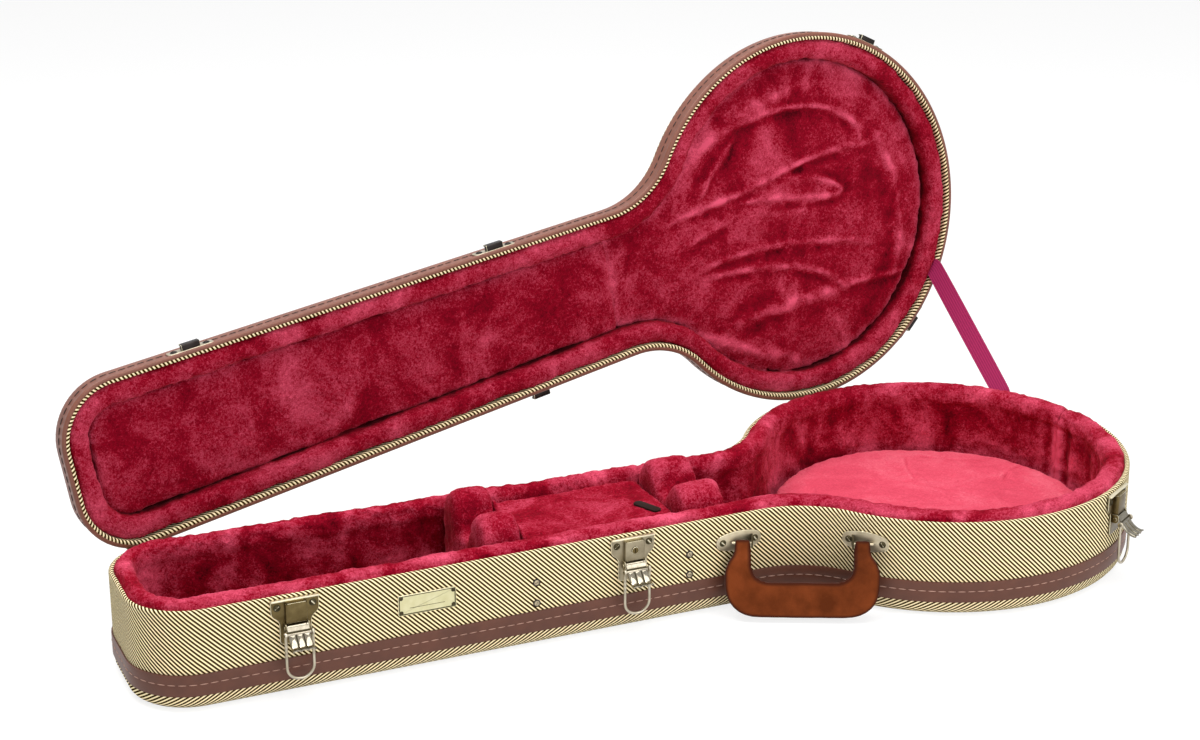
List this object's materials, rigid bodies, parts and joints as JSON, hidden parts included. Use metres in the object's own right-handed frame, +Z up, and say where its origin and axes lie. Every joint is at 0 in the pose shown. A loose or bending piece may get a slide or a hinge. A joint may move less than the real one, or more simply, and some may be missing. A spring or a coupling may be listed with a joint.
{
  "type": "banjo case",
  "caption": "Hard banjo case lying open: shaped tweed shell with banded edges, plush lining, tray with a lid, draw latches, leather handle and a stay strap.",
  "frame": {"origin": "on the underside that the case lies on, below the middle of its length and of its neck's width", "axes": "+X along the neck from the head end to the pot, -Y towards the front with the handle, +Z up"},
  "size_m": [1.064, 0.4843, 0.483],
  "materials": {
    "tweed_shell": "plywood covered in straw cloth with dark brown diagonal tweed stripes",
    "binding": "brown leatherette band, stitched along its length",
    "plush": "crimson plush with a short pile, over foam",
    "pad_plush": "lighter crimson plush over a foam pad",
    "ply": "bare plywood",
    "hardware": "aged nickel plate",
    "lever_chrome": "polished",
    "leather": "smooth brown leather, darker along its edges",
    "webbing": "flat woven magenta webbing"
  },
  "bodies": {
    "base": {"base_bottom": "tweed_shell", "base_wall": "tweed_shell", "base_binding": "binding", "floor_lining": "plush", "head_lining": "plush", "neck_lining_front": "plush", "neck_lining_rear": "plush", "pot_lining_front": "plush", "pot_lining_rear": "plush", "neck_rest": "plush", "neck_divider": "plush", "heel_divider": "ply", "heel_rest": "plush", "pot_pad": "pad_plush", "stay_strap": "webbing", "hinge_leaf_base_head": "hardware", "hinge_pin_head": "hardware", "hinge_leaf_base_pot": "hardware", "hinge_pin_pot": "hardware", "latch_plate_head": "hardware", "latch_plate_neck_front": "hardware", "latch_plate_pot_front": "hardware", "latch_plate_pot_rear": "hardware", "latch_plate_neck_rear": "hardware", "handle_bracket_left": "hardware", "handle_bracket_right": "hardware", "nameplate": "hardware", "wall_screw_neck_high": "hardware", "wall_screw_neck_low": "hardware", "wall_screw_heel_high": "hardware", "wall_screw_heel_low": "hardware"},
    "lid": {"lid_top": "tweed_shell", "lid_wall": "tweed_shell", "lid_binding": "binding", "lid_wall_lining": "plush", "lid_neck_pad": "plush", "lid_pot_pad": "plush", "hinge_leaf_lid_head": "hardware", "hinge_leaf_lid_pot": "hardware", "lid_catch_head": "hardware", "lid_catch_neck_front": "hardware", "lid_catch_pot_front": "hardware", "lid_catch_pot_rear": "hardware", "lid_catch_neck_rear": "hardware"},
    "handle": {"handle": "leather"},
    "accessory_lid": {"accessory_lid": "plush", "pull_tab": "leather"},
    "lock_barrel": {"lock_barrel": "hardware"},
    "lever_head": {"latch_lever_head": "lever_chrome"},
    "bail_head": {"latch_bail_head": "hardware"},
    "lever_neck_front": {"latch_lever_neck_front": "lever_chrome"},
    "bail_neck_front": {"latch_bail_neck_front": "hardware"},
    "lever_pot_front": {"latch_lever_pot_front": "lever_chrome"},
    "bail_pot_front": {"latch_bail_pot_front": "hardware"},
    "lever_pot_rear": {"latch_lever_pot_rear": "lever_chrome"},
    "bail_pot_rear": {"latch_bail_pot_rear": "hardware"},
    "lever_neck_rear": {"latch_lever_neck_rear": "lever_chrome"},
    "bail_neck_rear": {"latch_bail_neck_rear": "hardware"}
  },
  "joints": [
    {"name": "lid_hinge", "type": "hinge", "parent": "base", "child": "lid", "pos_m": [-0.47098, 0.08572, 0.086], "axis": [0.9893, 0.1458, 0], "range_deg": [0, 94.4], "deforming": ["stay_strap"]},
    {"name": "handle_swing", "type": "hinge", "parent": "base", "child": "handle", "pos_m": [0.11459, -0.10969, 0.0695], "axis": [-0.9055, 0.4244, 0], "range_deg": [0, 78]},
    {"name": "accessory_lid_hinge", "type": "hinge", "parent": "base", "child": "accessory_lid", "pos_m": [-0.06568, 0.05472, 0.093], "axis": [1, 0, 0], "range_deg": [-85, 0]},
    {"name": "lock_turn", "type": "hinge", "parent": "base", "child": "lock_barrel", "pos_m": [-0.04947, -0.0827, 0.0815], "axis": [0.0123, -0.9999, 0], "range_deg": [0, 90]},
    {"name": "lever_lift_head", "type": "hinge", "parent": "base", "child": "lever_head", "pos_m": [-0.37942, -0.08697, 0.0668], "axis": [-0.9999, -0.0123, 0], "range_deg": [0, 70]},
    {"name": "bail_swing_head", "type": "hinge", "parent": "lever_head", "child": "bail_head", "pos_m": [-0.37934, -0.09327, 0.0625], "axis": [0.9999, 0.0123, 0], "range_deg": [-178, 0]},
    {"name": "lever_lift_neck_front", "type": "hinge", "parent": "base", "child": "lever_neck_front", "pos_m": [-0.04947, -0.0829, 0.0668], "axis": [-0.9999, -0.0123, 0], "range_deg": [0, 70]},
    {"name": "bail_swing_neck_front", "type": "hinge", "parent": "lever_neck_front", "child": "bail_neck_front", "pos_m": [-0.04939, -0.0892, 0.0625], "axis": [0.9999, 0.0123, 0], "range_deg": [-178, 0]},
    {"name": "lever_lift_pot_front", "type": "hinge", "parent": "base", "child": "lever_pot_front", "pos_m": [0.43607, -0.16763, 0.0668], "axis": [-0.829, -0.5592, 0], "range_deg": [0, 70]},
    {"name": "bail_swing_pot_front", "type": "hinge", "parent": "lever_pot_front", "child": "bail_pot_front", "pos_m": [0.43959, -0.17285, 0.0625], "axis": [0.829, 0.5592, 0], "range_deg": [-178, 0]},
    {"name": "lever_lift_pot_rear", "type": "hinge", "parent": "base", "child": "lever_pot_rear", "pos_m": [0.44581, 0.16063, 0.0668], "axis": [0.7944, -0.6074, 0], "range_deg": [0, 70]},
    {"name": "bail_swing_pot_rear", "type": "hinge", "parent": "lever_pot_rear", "child": "bail_pot_rear", "pos_m": [0.44964, 0.16564, 0.0625], "axis": [-0.7944, 0.6074, 0], "range_deg": [-178, 0]},
    {"name": "lever_lift_neck_rear", "type": "hinge", "parent": "base", "child": "lever_neck_rear", "pos_m": [-0.02797, 0.08263, 0.0668], "axis": [0.9999, -0.0123, 0], "range_deg": [0, 70]},
    {"name": "bail_swing_neck_rear", "type": "hinge", "parent": "lever_neck_rear", "child": "bail_neck_rear", "pos_m": [-0.02789, 0.08893, 0.0625], "axis": [-0.9999, 0.0123, 0], "range_deg": [-178, 0]}
  ]
}
